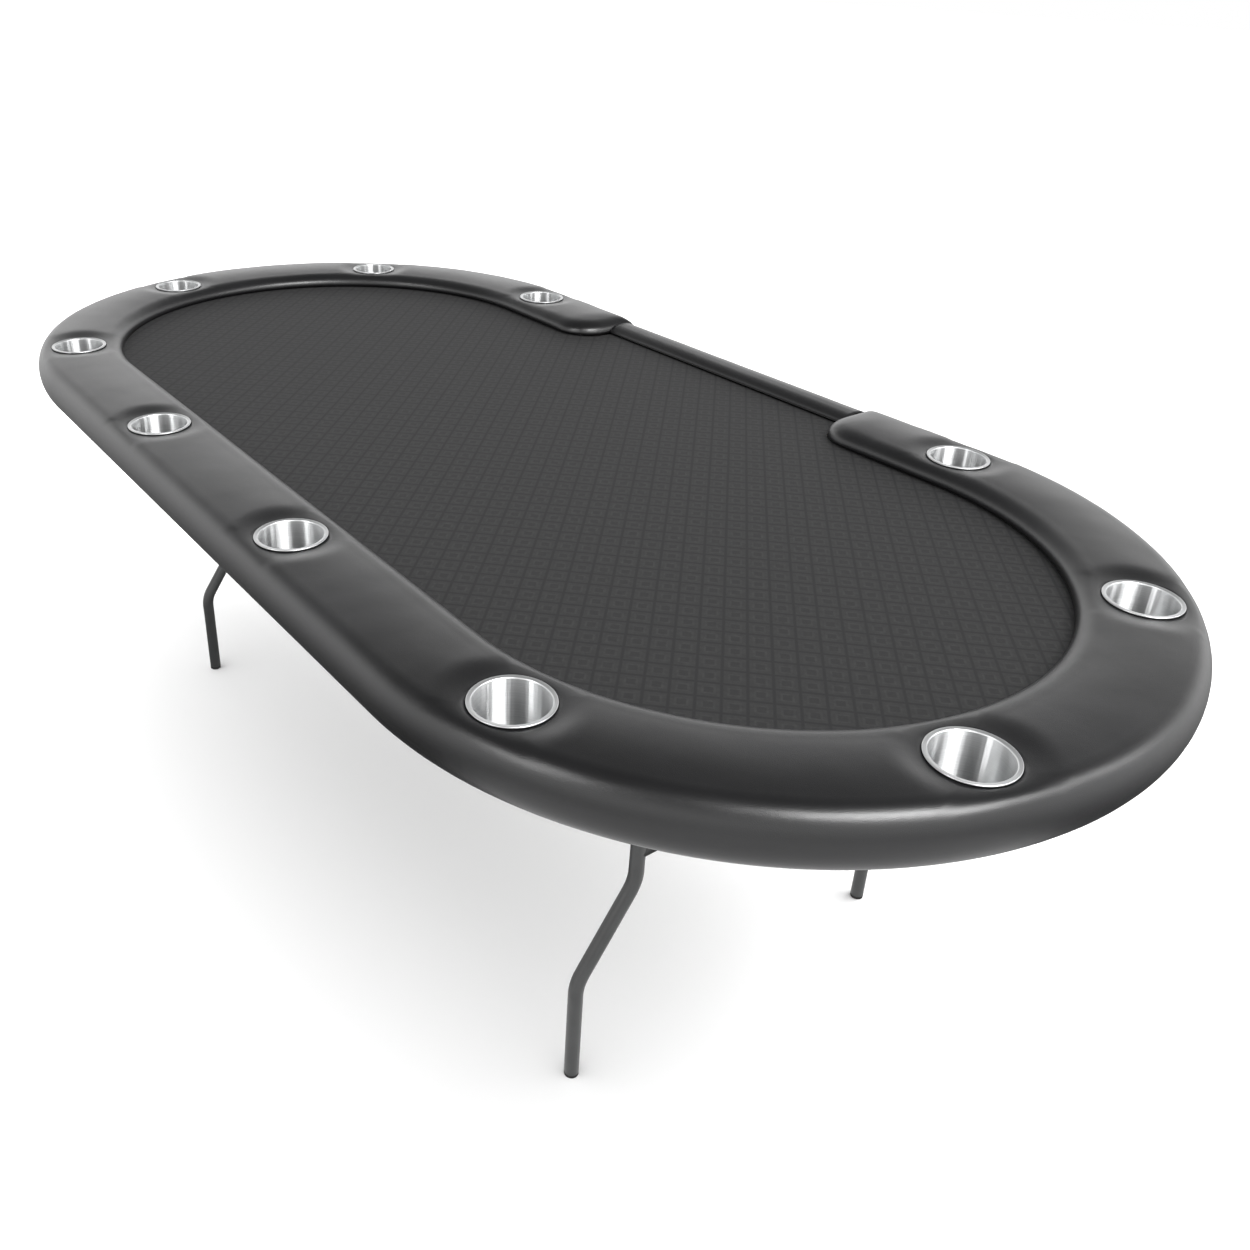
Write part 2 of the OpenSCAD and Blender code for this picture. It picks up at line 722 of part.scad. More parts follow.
deck();
cloth_pad();
speed_cloth();
rail_base();
foam_front();
foam_right_front();
foam_right_rear();
foam_left_front();
foam_left_rear();
rail_cover();
dealer_base();
dealer_foam();
dealer_cover();
fascia_straights();
fascia_bends();
long_boards();
leg_boards();
stay_boards();
rail_bolts();
rail_t_nuts();
frame_screws();
bracket_screws();
for (n = [1:2 * cups_per_half])
    cup_holder(n);
for (s = [0, 1]) mirror([s, 0, 0]) {
    side = s == 0 ? "right" : "left";
    leg_tubes();
    pivot_tube();
    crossbar();
    feet();
    tube_plugs();
    pivot_brackets();
    stay_collars();
    lower_stay();
    stay_rivet();
    upper_stay();
    stay_bracket();
    stay_pin();
}
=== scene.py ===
"""Looks of an oval poker table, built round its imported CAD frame. Metres, in the frame's axes."""
import json
import math

import bmesh
import bpy
from mathutils import Matrix, Vector, noise


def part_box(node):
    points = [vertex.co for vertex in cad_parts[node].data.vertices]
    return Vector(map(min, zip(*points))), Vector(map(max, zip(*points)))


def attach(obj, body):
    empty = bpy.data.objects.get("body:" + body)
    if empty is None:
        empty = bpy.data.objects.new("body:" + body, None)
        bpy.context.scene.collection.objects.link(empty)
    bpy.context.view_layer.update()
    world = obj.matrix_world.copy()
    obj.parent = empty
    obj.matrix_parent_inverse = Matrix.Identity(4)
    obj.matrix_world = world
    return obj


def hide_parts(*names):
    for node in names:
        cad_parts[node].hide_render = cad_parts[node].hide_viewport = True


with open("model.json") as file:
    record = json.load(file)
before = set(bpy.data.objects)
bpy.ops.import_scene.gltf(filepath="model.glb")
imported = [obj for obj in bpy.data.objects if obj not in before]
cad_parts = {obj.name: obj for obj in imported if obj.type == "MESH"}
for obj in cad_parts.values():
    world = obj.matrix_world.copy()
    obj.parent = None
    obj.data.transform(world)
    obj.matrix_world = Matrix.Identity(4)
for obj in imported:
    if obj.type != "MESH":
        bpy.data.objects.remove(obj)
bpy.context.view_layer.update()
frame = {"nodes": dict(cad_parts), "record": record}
MM = 0.001

# Sizes that the frame's boxes give.
COVER_LOW, COVER_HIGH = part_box("rail_cover")
ROLL_LOW, ROLL_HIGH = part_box("dealer_cover")
CLOTH_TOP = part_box("speed_cloth")[1].z
CUPS = [f"cup_holder_{n}" for n in range(1, 11)]
CUP_LOW, CUP_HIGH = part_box(CUPS[0])
END_R = COVER_HIGH.y  # outer radius of the table's round ends
STRAIGHT = COVER_HIGH.x - END_R  # half the length of its straight sides
FLANGE_R = (CUP_HIGH.x - CUP_LOW.x) / 2
BEAD_R = 1.2 * MM  # radius of the flange's rolled edge
SEAT_Z = CUP_HIGH.z - 2 * BEAD_R  # where the flange rests

# Sizes of the padding, as the CAD part has them.
RAIL_W = 155 * MM
SIDE_ROUND = 26 * MM  # how far the outer side bulges past the wood
HEM = 22 * MM
CROWN, DEALER_CROWN = 3 * MM, 0.6 * MM
SHOULDER = (30 * MM, 21 * MM)  # width and height of the rail's round edge by the cloth
DEALER_SHOULDER = (27 * MM, 16 * MM)
CORNER_R = 70 * MM  # of the rail's ends, from above
VINYL_T = 1.5 * MM
CUP_INSET = RAIL_W / 2
CUP_PATH_R = END_R - CUP_INSET
GAP_HALF = ROLL_HIGH.x + 0.5 * MM
PATH_HALF = STRAIGHT + math.pi * CUP_PATH_R + STRAIGHT - GAP_HALF  # front middle to the rail's end
CUP_END = 240 * MM  # last cup to the rail's end
PITCH = (PATH_HALF - CUP_END) / 4.5  # cup to cup
LAST_CUP = 4.5 * PITCH
CUP_PLACES = [math.copysign((abs(n) - 0.5) * PITCH, n) for n in range(-5, 6) if n]

# How the vinyl lies.
TUCK = (6 * MM, 5 * MM)  # how far its lip goes back under, across and down
DISH_W = 46 * MM  # how wide it dips round a cup's flange
SEAT_SINK = 0.2 * MM  # how far a flange presses into it
FLANGE_LAP = 2.6 * MM  # how far it reaches in under a flange
COLLAR_H = 9 * MM  # how far it turns down into a cup's hole
WAVE_FADE = 16 * MM  # how far below the top its slow waves have died out
END_FLAT = 20 * MM  # how far past the cups' inset the rail's end stays flat before its edge

# The grid that the vinyl's sheet is cut to.
PITCH_CELLS = 72
CELL = PITCH / PITCH_CELLS
HOLE = 7  # cells from a cup's middle to the edge of its hole
PATCH = 11  # cells from a cup's middle to where its rings end
END_CELLS = 12  # columns of each of the two stretches past the last cup
LIP_ROWS = 8  # rows by the cloth, and columns by the rail's ends
SIDE_ROWS = 16
MERGE, TINY = 0.05 * MM, 0.02 * MM  # doubles and slivers that are cleaned away


# ---------------------------------------------------------------- meshes


def make_object(name, bm, material, body="table_top"):
    """A finished piece at the origin, with its place in its mesh."""
    mesh = bpy.data.meshes.new(name)
    bm.to_mesh(mesh)
    bm.free()
    piece = bpy.data.objects.new(name, mesh)
    bpy.context.scene.collection.objects.link(piece)
    mesh.materials.append(material)
    for face in mesh.polygons:
        face.use_smooth = True
    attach(piece, body)
    return piece


def smoothstep(low, high, x):
    t = min(max((x - low) / (high - low), 0.0), 1.0)
    return t * t * (3 - 2 * t)


def steps(start, end, count):
    """Even steps from the start, without the end."""
    return [start + (end - start) * i / count for i in range(count)]


def turns(start, end, step):
    """Angles in radians, from start to end in degrees and with both."""
    return [math.radians(a) for a in range(start, end + (1 if step > 0 else -1), step)]


class Section:
    """A padded roll's section, as a line of (inset, height) from its hem to its lip."""

    def __init__(self, width, top, crown, shoulder):
        half = (top - COVER_LOW.z) / 2
        middle = (top + COVER_LOW.z) / 2
        shoulder_w, shoulder_h = shoulder
        flat = width - shoulder_w - SIDE_ROUND
        line = [(SIDE_ROUND + HEM, COVER_LOW.z)]
        for turn in turns(-90, 90, 3):
            line.append((SIDE_ROUND - SIDE_ROUND * math.cos(turn), middle + half * math.sin(turn)))
        for k in steps(0, 1, 24)[1:]:
            line.append((SIDE_ROUND + k * flat, top + 4 * crown * k * (1 - k)))
        for turn in turns(90, 0, -3):
            line.append((width - shoulder_w * (1 - math.cos(turn)),
                         top - shoulder_h * (1 - math.sin(turn))))
        # The lip tucks back under, down to the cloth.
        for turn in turns(0, 90, 15):
            line.append((width - TUCK[0] * (1 - math.cos(turn)),
                         CLOTH_TOP + TUCK[1] * (1 - math.sin(turn))))
        self.line, self.top = line, top
        self.along = [0.0]
        for a, b in zip(line, line[1:]):
            self.along.append(self.along[-1] + math.dist(a, b))
        self.length = self.along[-1]

    def at(self, w):
        """(inset, height) at the length w from the hem."""
        w = min(max(w, 0.0), self.length)
        i = 1
        while i < len(self.along) - 1 and self.along[i] < w:
            i += 1
        k = (w - self.along[i - 1]) / max(self.along[i] - self.along[i - 1], 1e-9)
        a, b = self.line[i - 1], self.line[i]
        return a[0] + k * (b[0] - a[0]), a[1] + k * (b[1] - a[1])

    def length_to(self, inset):
        """Length from the hem to where the top has that inset."""
        for i, (a, b) in enumerate(zip(self.line, self.line[1:])):
            if a[1] > self.top - 1 * MM and a[0] <= inset < b[0]:
                k = (inset - a[0]) / (b[0] - a[0])
                return self.along[i] + k * (self.along[i + 1] - self.along[i])
        raise ValueError("inset is not on the top")


RAIL = Section(RAIL_W, COVER_HIGH.z - CROWN, CROWN, SHOULDER)
CUP_W = RAIL.length_to(CUP_INSET)  # hem to cup line
LIP_W = RAIL.length - CUP_W  # cup line to lip
EDGE_EXTRA = LIP_W - CUP_INSET  # how much longer the way over the edge is than its inset
EDGE_GAP = RAIL.length - (CUP_W + PATCH * CELL)  # the rows by the cloth
CUT_END = LAST_CUP + CUP_END + EDGE_EXTRA  # half the sheet's length


def sheet_grid(columns, rows):
    """A flat sheet, cut to a grid, whose vertices know their column and row."""
    bm = bmesh.new()
    bmesh.ops.create_grid(bm, x_segments=len(columns) - 1, y_segments=len(rows) - 1, size=1)
    cells = {}
    for v in bm.verts:
        column = round((v.co.x + 1) / 2 * (len(columns) - 1))
        row = round((v.co.y + 1) / 2 * (len(rows) - 1))
        cells[v] = (columns[column], rows[row])
    return bm, cells


def rail_cut():
    """The columns and rows of the wide rail's sheet, closer round the cups and by the edges."""
    low, high = CUP_W - PATCH * CELL, CUP_W + PATCH * CELL
    rows = steps(0, low, SIDE_ROWS) + steps(low, high, 2 * PATCH) + [high]
    rows += reversed(steps(RAIL.length, high, LIP_ROWS))
    past_cup, edge = LAST_CUP + PATCH * CELL, CUT_END - EDGE_GAP
    half = steps(0, past_cup, 9 * PITCH_CELLS // 2 + PATCH)
    half += steps(past_cup, edge - END_CELLS * CELL, END_CELLS)
    half += steps(edge - END_CELLS * CELL, edge, END_CELLS)
    half += steps(edge, CUT_END, LIP_ROWS) + [CUT_END]
    return [-s for s in reversed(half[1:])] + half, rows


def square_to_round(a, b):
    """Moves a point of concentric squares onto concentric circles."""
    m = max(abs(a), abs(b))
    if m < 1e-9:
        return 0.0, 0.0
    if abs(a) >= abs(b):
        turn = math.pi / 4 * b / abs(a)
        return math.copysign(m * math.cos(turn), a), m * math.sin(turn)
    turn = math.pi / 4 * a / abs(b)
    return m * math.sin(turn), math.copysign(m * math.cos(turn), b)


def ring_round_cup(across, down, ring):
    """Turns the square of cells round a cup's hole into rings."""
    a, b = square_to_round(across, down)
    scale = (FLANGE_R - FLANGE_LAP) / (HOLE * CELL)
    share = smoothstep(HOLE, PATCH, ring)
    return a * scale + share * (across - a * scale), b * scale + share * (down - b * scale)


def on_rail(s, inset, z):
    """The place at s along the cup line from the middle of the front, at that inset."""
    side = math.copysign(1, s)
    s, r = abs(s), END_R - inset
    if s < STRAIGHT:
        return Vector((side * s, -r, z))
    turn = (s - STRAIGHT) / CUP_PATH_R
    if turn < math.pi:
        return Vector((side * (STRAIGHT + r * math.sin(turn)), -r * math.cos(turn), z))
    return Vector((side * (2 * STRAIGHT + math.pi * CUP_PATH_R - s), r, z))


def over_the_end(s, w, inset, z):
    """Bends the sheet down over the rail's end by the dealer, with a round corner."""
    over = CUT_END - abs(s)
    end_inset, cap = RAIL.at(RAIL.length - over)
    end_inset = RAIL_W - end_inset
    if over > LIP_W - END_FLAT:
        end_inset, cap = over - EDGE_EXTRA, math.inf
    if over > EDGE_GAP + END_CELLS / 2 * CELL:
        cap = max(cap, RAIL.top + CROWN)
    p = RAIL_W - inset
    if p < CORNER_R and end_inset < CORNER_R and w > CUP_W - CUP_INSET:
        p, q = square_to_round(CORNER_R - p, CORNER_R - end_inset)
        inset = RAIL_W - CORNER_R + p
        end_inset = CORNER_R - q
    return math.copysign(PATH_HALF - end_inset, s), inset, min(z, cap)


def wavy(place, top):
    """Adds the slow waves of hand-pulled vinyl over foam, which die out down the sides."""
    height = 0.5 * MM * noise.noise(place * 9.0) + 0.25 * MM * noise.noise(place * 23.0)
    return Vector((place.x, place.y,
                   place.z + smoothstep(top - WAVE_FADE, top, place.z) * height))


def laid_on_foam(s, w, cup):
    """Where the sheet's point (s, w) lies, pulled down to the flange of that cup."""
    inset, z = RAIL.at(w)
    if CUT_END - abs(s) < CUP_END:
        s, inset, z = over_the_end(s, w, inset, z)
    place = wavy(on_rail(s, inset, z), RAIL.top)
    away = math.dist(place.xy, on_rail(cup, CUP_INSET, 0).xy)
    pull = (1 - smoothstep(FLANGE_R, FLANGE_R + DISH_W, away)) ** 1.5
    place.z -= pull * max(place.z - (SEAT_Z - SEAT_SINK), 0)
    return place


def face_outwards(bm, top):
    """Turns a sheet's faces so that those of its top look up."""
    bmesh.ops.recalc_face_normals(bm, faces=bm.faces)
    if sum(f.normal.z for f in bm.faces if f.calc_center_median().z > top) < 0:
        bmesh.ops.reverse_faces(bm, faces=bm.faces)


def thicken(piece):
    """Gives the vinyl its thickness, inwards."""
    wall = piece.modifiers.new("wall", "SOLIDIFY")
    wall.thickness, wall.offset, wall.use_even_offset = VINYL_T, -1, False


def rail_vinyl(material):
    """The wide rail's cover: one sheet, pulled over the foam and down round every cup."""
    bm, cells = sheet_grid(*rail_cut())
    grain = bm.loops.layers.uv.new("cut")
    in_holes = set()
    for v, (s, w) in cells.items():
        cup = min(CUP_PLACES, key=lambda place: abs(place - s))
        across, down = s - cup, w - CUP_W
        ring = max(abs(across), abs(down)) / CELL
        if ring < PATCH - 1e-6:
            across, down = ring_round_cup(across, down, ring)
        if ring < HOLE - 0.5:
            in_holes.add(v)
        v.co = laid_on_foam(cup + across, CUP_W + down, cup)
    for face in bm.faces:
        for loop in face.loops:
            loop[grain].uv = cells[loop.vert]
    # The ends' corners are eased, less and less towards the cups and the outer side.
    for share in steps(1, 0.5, 8):
        ends = [v for v in bm.verts if not v.is_boundary and v.co.z > CLOTH_TOP + 8 * MM
                and CUT_END - abs(cells[v][0]) < share * RAIL_W
                and cells[v][1] > CUP_W - share * CUP_INSET]
        bmesh.ops.smooth_vert(bm, verts=ends, factor=0.5, use_axis_x=True, use_axis_y=True,
                              use_axis_z=True)
    holes = [f for f in bm.faces if any(v in in_holes for v in f.verts)]
    bmesh.ops.delete(bm, geom=holes, context="FACES")
    bmesh.ops.remove_doubles(bm, verts=bm.verts, dist=MERGE)
    bmesh.ops.dissolve_degenerate(bm, edges=bm.edges, dist=TINY)
    # A collar goes down into each hole.
    rims = [e for e in bm.edges if e.is_boundary and all(
        min(math.dist(v.co.xy, on_rail(cup, CUP_INSET, 0).xy) for cup in CUP_PLACES) < FLANGE_R
        for v in e.verts)]
    for v in bmesh.ops.extrude_edge_only(bm, edges=rims)["geom"]:
        if isinstance(v, bmesh.types.BMVert):
            v.co.z -= COLLAR_H
    face_outwards(bm, RAIL.top)
    piece = make_object("rail_vinyl", bm, material)
    thicken(piece)
    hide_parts("rail_cover", "foam_front", "foam_right_front", "foam_right_rear",
                "foam_left_front", "foam_left_rear")
    return piece


def dealer_vinyl(material):
    """The narrow roll in front of the dealer."""
    roll = Section(END_R - ROLL_LOW.y, ROLL_HIGH.z, DEALER_CROWN, DEALER_SHOULDER)
    rows = steps(0, roll.length, 44) + [roll.length]
    columns = steps(-ROLL_HIGH.x, ROLL_HIGH.x, 90) + [ROLL_HIGH.x]
    bm, cells = sheet_grid(columns, rows)
    for v, (x, w) in cells.items():
        inset, z = roll.at(w)
        v.co = wavy(Vector((x, END_R - inset, z)), roll.top)
    face_outwards(bm, roll.top - 4 * MM)
    piece = make_object("dealer_vinyl", bm, material)
    thicken(piece)
    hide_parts("dealer_cover", "dealer_foam")
    return piece


def cloth_sheet(material):
    """The playing cloth, in one piece, stretched over its pad and under the rail's lip."""
    bm = bmesh.new()
    bm.from_mesh(frame["nodes"]["speed_cloth"].data)
    bmesh.ops.remove_doubles(bm, verts=bm.verts, dist=0.01 * MM)
    flat = sum(f.calc_area() for f in bm.faces if f.normal.z > 0.9)
    piece = make_object("playing_cloth", bm, material)
    for face in piece.data.polygons:
        face.use_smooth = False
    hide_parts("speed_cloth")
    return piece


def arc(x, z, r, start, end, count):
    """Points of an arc round (x, z), its angles in degrees."""
    angles = [math.radians(a) for a in steps(start, end, count) + [end]]
    return [(x + r * math.cos(turn), z + r * math.sin(turn)) for turn in angles]


def cup_piece(node, wall_steel, flange_steel):
    """A deep-drawn cup with a rolled flange, spun from its section."""
    low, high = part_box(node)
    middle = (low + high) / 2
    body_r, bottom_r, throat_r, wall = 44 * MM, 6 * MM, 2.2 * MM, 1 * MM
    # The inside, from the middle of the bottom up over the flange's bead.
    line = [(0, low.z + wall)]
    line += arc(body_r - bottom_r, low.z + bottom_r, bottom_r - wall, -90, 0, 6)
    line += [(body_r - wall, low.z + (SEAT_Z - low.z) * k / 5) for k in (2, 3, 4)]
    line += arc(body_r - wall + throat_r, SEAT_Z + 0.1 * MM, throat_r, 180, 100, 5)
    line += arc(FLANGE_R - BEAD_R, SEAT_Z + BEAD_R, BEAD_R, 120, -90, 9)
    # The outside, back down to the bottom.
    line += [(body_r + 0.4 * MM, SEAT_Z), (body_r, SEAT_Z - 0.6 * MM)]
    line += arc(body_r - bottom_r, low.z + bottom_r, bottom_r, 0, -90, 6)
    line += [(0, low.z)]
    bm = bmesh.new()
    verts = [bm.verts.new((r, 0, z)) for r, z in line]
    edges = [bm.edges.new(pair) for pair in zip(verts, verts[1:])]
    bmesh.ops.spin(bm, geom=verts + edges, cent=(0, 0, 0), axis=(0, 0, 1),
                   angle=2 * math.pi, steps=96, use_merge=True)
    bmesh.ops.remove_doubles(bm, verts=bm.verts, dist=0.01 * MM)
    bmesh.ops.recalc_face_normals(bm, faces=bm.faces)
    brushing = bm.loops.layers.uv.new("brushing")
    for face in bm.faces:
        for loop in face.loops:
            place = loop.vert.co
            loop[brushing].uv = (math.atan2(place.y, place.x), place.z)
    bmesh.ops.translate(bm, verts=bm.verts, vec=(middle.x, middle.y, 0))
    piece = make_object(node.replace("holder", "steel"), bm, wall_steel, node)
    piece.data.materials.append(flange_steel)
    for face in piece.data.polygons:
        face.material_index = int(face.center.z > SEAT_Z - 1 * MM)
    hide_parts(node)
    return piece


# ---------------------------------------------------------------- materials


def linear(hex_colour):
    """An sRGB colour as Blender's linear RGBA."""
    parts = [int(hex_colour[i:i + 2], 16) / 255 for i in (1, 3, 5)]
    return [c / 12.92 if c <= 0.04045 else ((c + 0.055) / 1.055) ** 2.4 for c in parts] + [1]


def feed(tree, node, links):
    """Links sockets, or nodes by their first output, to a node's inputs."""
    for name, source in links.items():
        socket = source.outputs[0] if isinstance(source, bpy.types.Node) else source
        tree.links.new(socket, node.inputs[name])


def add(tree, kind, values=None, links=None, stops=None, **settings):
    """Adds a shader node with its settings, its inputs' values, what feeds them, and a ramp's
    stops as (position, linear colour)."""
    made = tree.nodes.new("ShaderNode" + kind)
    for name, value in settings.items():
        setattr(made, name, value)
    for name, value in (values or {}).items():
        made.inputs[name].default_value = value
    feed(tree, made, links or {})
    if stops:
        first, *middle, last = stops
        ends = made.color_ramp.elements
        ends[0].position, ends[0].color = first
        ends[1].position, ends[1].color = last
        for position, colour in middle:
            ends.new(position).color = colour
    return made


def new_material(name, colour, roughness, **values):
    """A Principled material; returns it with its tree and its shader."""
    material = bpy.data.materials.new(name)
    material.use_nodes = True
    tree = material.node_tree
    shader = tree.nodes["Principled BSDF"]
    shader.inputs["Base Color"].default_value = linear(colour)
    shader.inputs["Roughness"].default_value = roughness
    for key, value in values.items():
        shader.inputs[key.replace("_", " ")].default_value = value
    return material, tree, shader


def grey(level):
    return (level, level, level, 1)


def two_tones(dark, light, low=0.3, high=0.7):
    """A ramp's stops from one hex colour to another."""
    return ((low, linear(dark)), (high, linear(light)))


def upholstery_vinyl():
    """Calendered PVC on a knit back: satin black, with a fine pressed leather grain."""
    material, tree, shader = new_material("upholstery_vinyl", "#151516", 0.36)
    place = {"Vector": add(tree, "TexCoord").outputs["Object"]}
    # Grain cells are 1 mm across on the real one; 1.6 mm is the finest that still shows.
    grain = add(tree, "TexVoronoi", {"Scale": 620.0}, place, feature="DISTANCE_TO_EDGE")
    waves = add(tree, "TexNoise", {"Scale": 14.0, "Detail": 3.0}, place)
    wear = add(tree, "TexNoise", {"Scale": 5.0, "Detail": 4.0}, place)
    soft = add(tree, "Bump", {"Strength": 0.12, "Distance": 4 * MM}, {"Height": waves})
    feed(tree, shader, {
        "Base Color": add(tree, "ValToRGB", {}, {"Fac": wear}, two_tones("#121213", "#18181a")),
        "Roughness": add(tree, "MapRange", {"To Min": 0.3, "To Max": 0.38}, {"Value": wear}),
        "Normal": add(tree, "Bump", {"Strength": 0.5, "Distance": 0.3 * MM},
                      {"Height": grain, "Normal": soft})})
    return material


def speed_cloth():
    """Coated polyester playing cloth: matt charcoal, woven in a lattice with a small square
    in every cell."""
    material, tree, shader = new_material("speed_cloth", "#323233", 0.7, Specular_IOR_Level=0.15)
    place = {"Vector": add(tree, "TexCoord").outputs["Object"]}
    # The lattice runs at 45 degrees to the table, 29 mm from line to line.
    turned = add(tree, "Mapping", {"Rotation": (0, 0, math.radians(45)),
                                   "Scale": (1 / (29 * MM),) * 3}, place)
    parts = add(tree, "SeparateXYZ", links={"Vector": turned})
    sides = []
    for axis in "XY":
        phase = add(tree, "Math", links={0: parts.outputs[axis]}, operation="FRACT")
        away = add(tree, "Math", {1: 0.5}, {0: phase}, operation="SUBTRACT")
        sides.append(add(tree, "Math", links={0: away}, operation="ABSOLUTE"))
    nearest = add(tree, "Math", links={0: sides[0], 1: sides[1]}, operation="MINIMUM")
    # From a cell's line, over its ground and the square's outline, to the square's middle.
    levels = ((0, 0), (0.04, 0.05), (0.09, 0.6), (0.21, 0.6), (0.25, 0.85), (0.3, 0.8),
              (0.34, 0.3), (1, 0.4))
    lattice = add(tree, "ValToRGB", {}, {"Fac": nearest},
                  [(position, grey(level)) for position, level in levels])
    # Threads are 0.5 mm on the real one; 1.2 mm is the finest that still shows.
    weave = add(tree, "TexNoise", {"Scale": 800.0, "Detail": 2.0}, place)
    uneven = add(tree, "TexNoise", {"Scale": 130.0, "Detail": 4.0}, place)
    fade = add(tree, "Math", links={0: lattice, 1: uneven}, operation="MULTIPLY")
    threads = add(tree, "Math", {1: 0.35}, {0: weave}, operation="MULTIPLY")
    total = add(tree, "Math", links={0: fade, 1: threads}, operation="ADD")
    feed(tree, shader, {
        "Base Color": add(tree, "ValToRGB", {}, {"Fac": total},
                          two_tones("#29292a", "#3a3a3a", 0.1, 0.75)),
        "Normal": add(tree, "Bump", {"Strength": 0.35, "Distance": 0.5 * MM},
                      {"Height": total})})
    return material


def brushed_steel(name, pull, flatness):
    """Drawn stainless steel, brushed round: the pull stretches its highlights into upright
    streaks, and the flatness dents it slightly."""
    material, tree, shader = new_material(name, "#dedfdf", 0.42, Metallic=1.0, Anisotropic=pull,
                                          Anisotropic_Rotation=0.25)
    turned = add(tree, "UVMap", uv_map="brushing")
    # Brush lines are 0.1 mm apart on the real one; 0.4 mm is the finest that still shows.
    along = add(tree, "Mapping", {"Scale": (0.6, 2600.0, 1.0)}, {"Vector": turned})
    lines = add(tree, "TexNoise", {"Scale": 1.0, "Detail": 3.0}, {"Vector": along})
    # Drawing leaves flats about 4 mm wide up the wall.
    upright = add(tree, "Mapping", {"Scale": (11.0, 3.0, 1.0)}, {"Vector": turned})
    flats = add(tree, "TexNoise", {"Scale": 1.0, "Detail": 2.5}, {"Vector": upright})
    drawn = add(tree, "Bump", {"Strength": flatness, "Distance": 0.35 * MM}, {"Height": flats})
    feed(tree, shader, {
        "Base Color": add(tree, "ValToRGB", {}, {"Fac": lines}, two_tones("#bcbdbe", "#d9dada")),
        "Roughness": add(tree, "MapRange", {"To Min": 0.34, "To Max": 0.5}, {"Value": lines}),
        "Normal": add(tree, "Bump", {"Strength": 0.06, "Distance": 0.05 * MM},
                      {"Height": lines, "Normal": drawn}),
        "Tangent": add(tree, "Tangent", direction_type="UV_MAP", uv_map="brushing")})
    return material


def powder_coat():
    """Polyester powder coat baked on steel tube: satin charcoal with a slight orange peel."""
    material, tree, shader = new_material("black_powder_coat", "#333435", 0.42)
    place = {"Vector": add(tree, "TexCoord").outputs["Object"]}
    peel = add(tree, "TexNoise", {"Scale": 500.0, "Detail": 2.0}, place)
    patches = add(tree, "TexNoise", {"Scale": 30.0, "Detail": 3.0}, place)
    feed(tree, shader, {
        "Base Color": add(tree, "ValToRGB", {}, {"Fac": patches},
                          two_tones("#2a2b2b", "#353636")),
        "Roughness": add(tree, "MapRange", {"To Min": 0.36, "To Max": 0.5}, {"Value": patches}),
        "Normal": add(tree, "Bump", {"Strength": 0.15, "Distance": 0.2 * MM},
                      {"Height": peel})})
    return material


def moulded_black(name, roughness, grit):
    """Moulded black rubber or nylon: even and matt, with a fine mould texture."""
    material, tree, shader = new_material(name, "#1a1a1a", roughness)
    place = {"Vector": add(tree, "TexCoord").outputs["Object"]}
    texture = add(tree, "TexNoise", {"Scale": grit, "Detail": 2.0}, place)
    feed(tree, shader, {
        "Base Color": add(tree, "ValToRGB", {}, {"Fac": texture},
                          two_tones("#161616", "#202020")),
        "Roughness": add(tree, "MapRange", {"To Min": roughness - 0.08,
                                            "To Max": roughness + 0.08}, {"Value": texture}),
        "Normal": add(tree, "Bump", {"Strength": 0.2, "Distance": 0.2 * MM},
                      {"Height": texture})})
    return material


def stained_wood(name, dark, light, plies=False):
    """Wood under black stain: its long grain took more of it. Plywood shows its plies too."""
    material, tree, shader = new_material(name, light, 0.6)
    place = {"Vector": add(tree, "TexCoord").outputs["Object"]}
    # The grain's streaks are 14 mm wide and a quarter of a metre long.
    stretched = add(tree, "Mapping", {"Scale": (4.0, 70.0, 70.0)}, place)
    grain = add(tree, "TexNoise", {"Scale": 1.0, "Detail": 5.0, "Distortion": 0.6},
                {"Vector": stretched})
    if plies:
        # Plies are 1.5 mm thick.
        bands = add(tree, "TexWave", {"Scale": 105.0}, place, bands_direction="Z",
                    wave_type="BANDS")
        relief = add(tree, "Bump", {"Strength": 0.15, "Distance": 0.2 * MM},
                     {"Height": bands.outputs["Fac"]})
    else:
        relief = add(tree, "Bump", {"Strength": 0.2, "Distance": 0.3 * MM}, {"Height": grain})
    feed(tree, shader, {
        "Base Color": add(tree, "ValToRGB", {}, {"Fac": grain},
                          two_tones(dark, light, 0.35, 0.62)),
        "Roughness": add(tree, "MapRange", {"To Min": 0.5, "To Max": 0.7}, {"Value": grain}),
        "Normal": relief})
    return material


def foam():
    """Open-cell polyurethane foam: cream, matt and porous."""
    material, tree, shader = new_material("cream_foam", "#d8cfa8", 0.9)
    place = {"Vector": add(tree, "TexCoord").outputs["Object"]}
    pores = add(tree, "TexVoronoi", {"Scale": 500.0}, place)
    feed(tree, shader, {
        "Base Color": add(tree, "ValToRGB", {}, {"Fac": pores},
                          two_tones("#cfc59a", "#e0d8b6", 0.1, 0.6)),
        "Normal": add(tree, "Bump", {"Strength": 0.5, "Distance": 0.8 * MM},
                      {"Height": pores})})
    return material


def zinc_steel():
    """Zinc-plated steel: a bright, slightly clouded metal."""
    material, tree, shader = new_material("zinc_plated_steel", "#b9bab6", 0.35, Metallic=1.0)
    place = {"Vector": add(tree, "TexCoord").outputs["Object"]}
    clouds = add(tree, "TexNoise", {"Scale": 300.0, "Detail": 3.0}, place)
    feed(tree, shader, {
        "Base Color": add(tree, "ValToRGB", {}, {"Fac": clouds}, two_tones("#a9aaa6", "#c4c5c1")),
        "Roughness": add(tree, "MapRange", {"To Min": 0.28, "To Max": 0.45},
                         {"Value": clouds})})
    return material


# ---------------------------------------------------------------- the table

